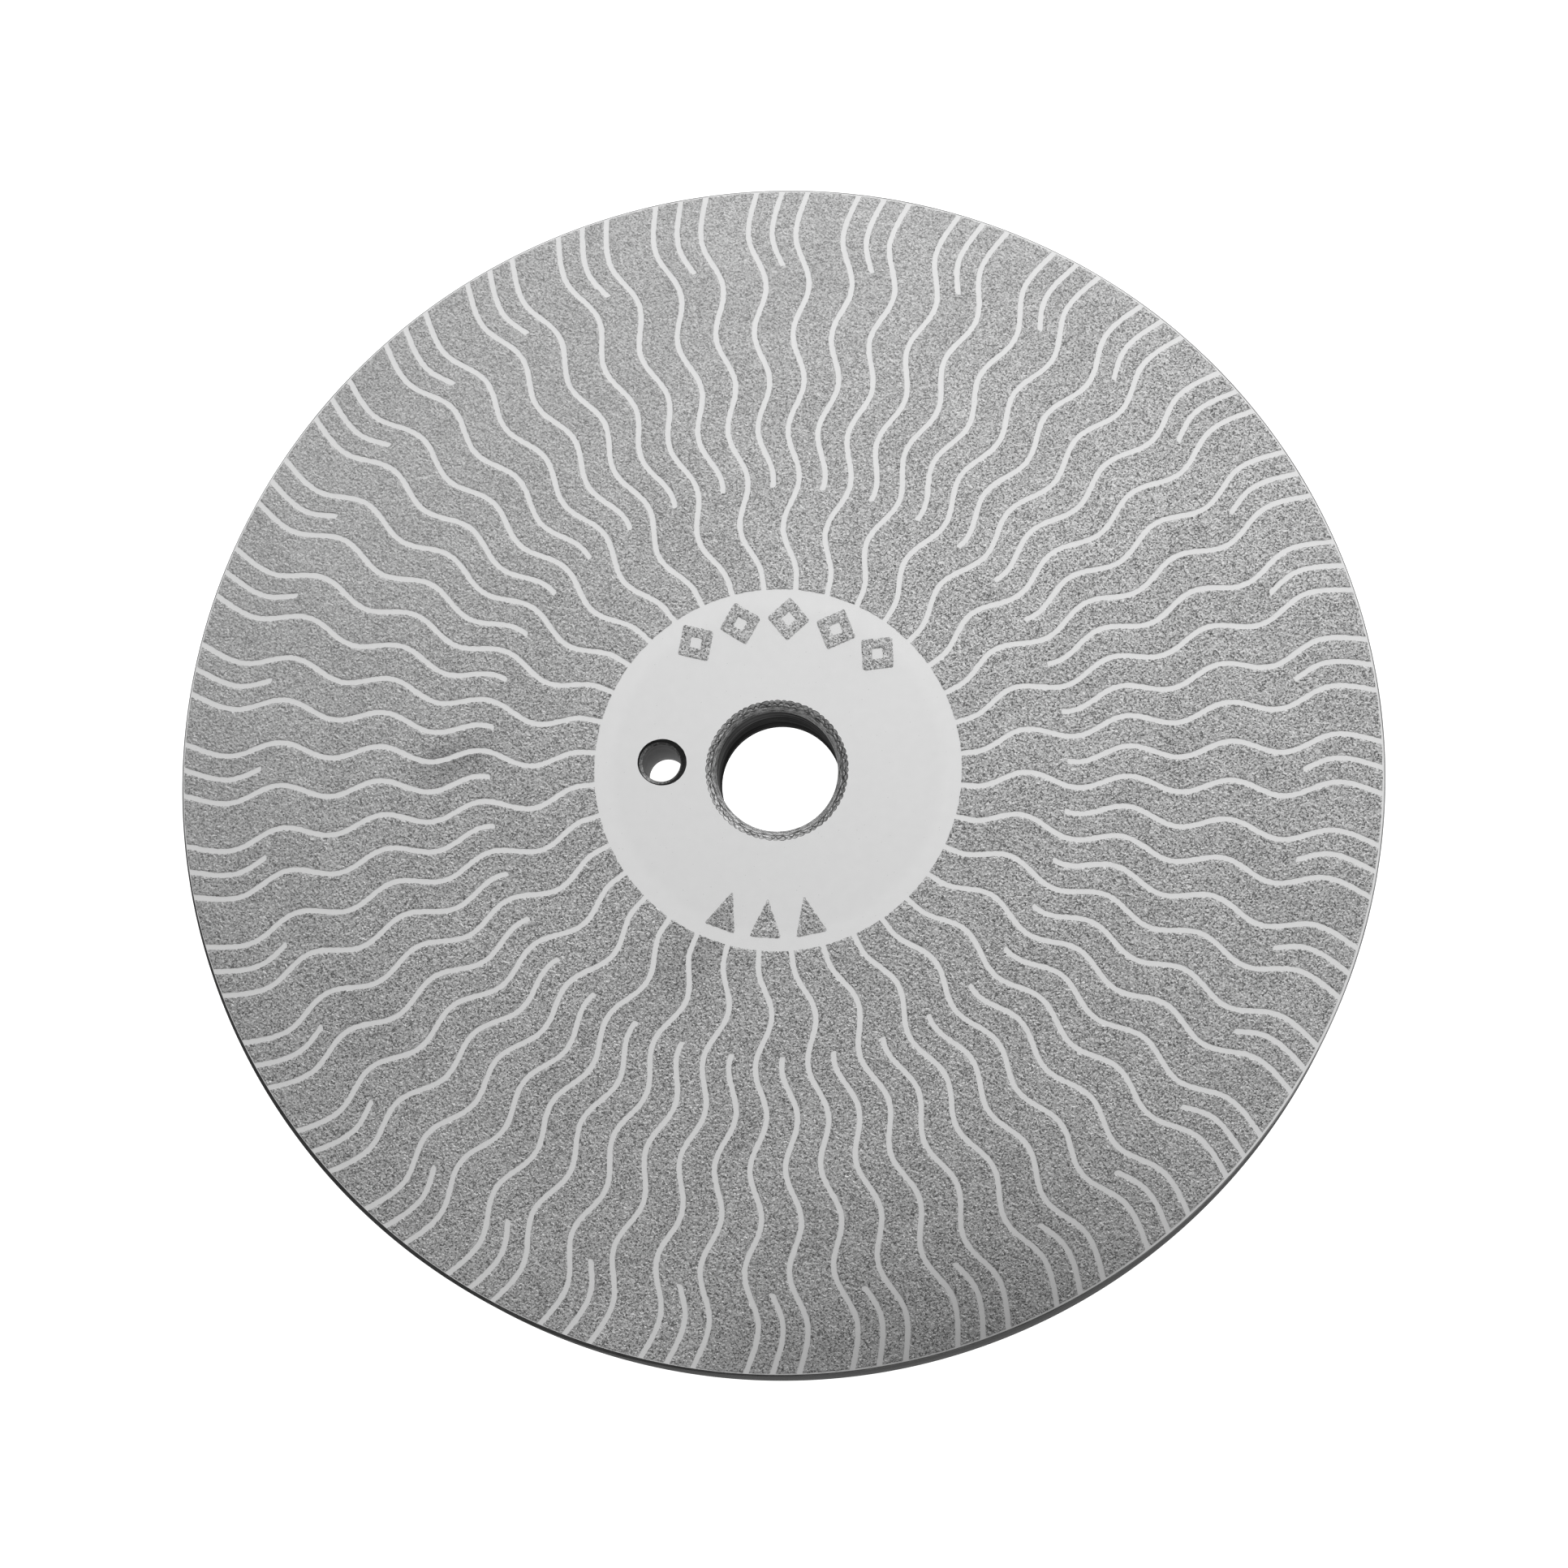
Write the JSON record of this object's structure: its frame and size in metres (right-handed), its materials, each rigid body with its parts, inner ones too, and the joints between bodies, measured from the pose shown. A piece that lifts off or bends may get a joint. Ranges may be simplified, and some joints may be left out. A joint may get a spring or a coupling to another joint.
{
  "type": "diamond grinding wheel",
  "caption": "Flat round lapping and grinding wheel with plated diamond grit parted by wavy bare lines, a plain hub, a spindle bore and a drive pin hole.",
  "frame": {"origin": "centre of the back face, on the spindle axis", "axes": "+Z along the spindle axis, out of the grinding face; -X towards the drive pin hole"},
  "size_m": [0.127, 0.127, 0.0097],
  "materials": {
    "plated_steel": "fine ground and nickel plated, satin to bright",
    "diamond_grit": "rough sparkling grit held in nickel"
  },
  "bodies": {
    "root": {"wheel_blank": "plated_steel", "grit_island_01": "diamond_grit", "grit_island_02": "diamond_grit", "grit_island_03": "diamond_grit", "grit_island_04": "diamond_grit", "grit_island_05": "diamond_grit", "grit_island_06": "diamond_grit", "grit_island_07": "diamond_grit", "grit_island_08": "diamond_grit", "grit_island_09": "diamond_grit", "grit_island_10": "diamond_grit", "grit_island_11": "diamond_grit", "grit_island_12": "diamond_grit", "grit_island_13": "diamond_grit", "grit_island_14": "diamond_grit", "grit_island_15": "diamond_grit", "grit_island_16": "diamond_grit", "grit_island_17": "diamond_grit", "grit_island_18": "diamond_grit", "grit_island_19": "diamond_grit", "grit_island_20": "diamond_grit", "grit_island_21": "diamond_grit", "grit_island_22": "diamond_grit", "grit_island_23": "diamond_grit", "grit_island_24": "diamond_grit", "grit_island_25": "diamond_grit", "grit_island_26": "diamond_grit", "grit_island_27": "diamond_grit", "grit_island_28": "diamond_grit", "grit_island_29": "diamond_grit", "grit_island_30": "diamond_grit", "grit_island_31": "diamond_grit", "grit_island_32": "diamond_grit", "grit_island_33": "diamond_grit", "grit_island_34": "diamond_grit", "grit_island_35": "diamond_grit", "grit_island_36": "diamond_grit", "hub_rhombus_1": "diamond_grit", "hub_rhombus_2": "diamond_grit", "hub_rhombus_3": "diamond_grit", "hub_rhombus_4": "diamond_grit", "hub_rhombus_5": "diamond_grit", "hub_triangle_1": "diamond_grit", "hub_triangle_2": "diamond_grit", "hub_triangle_3": "diamond_grit"}
  },
  "joints": []
}
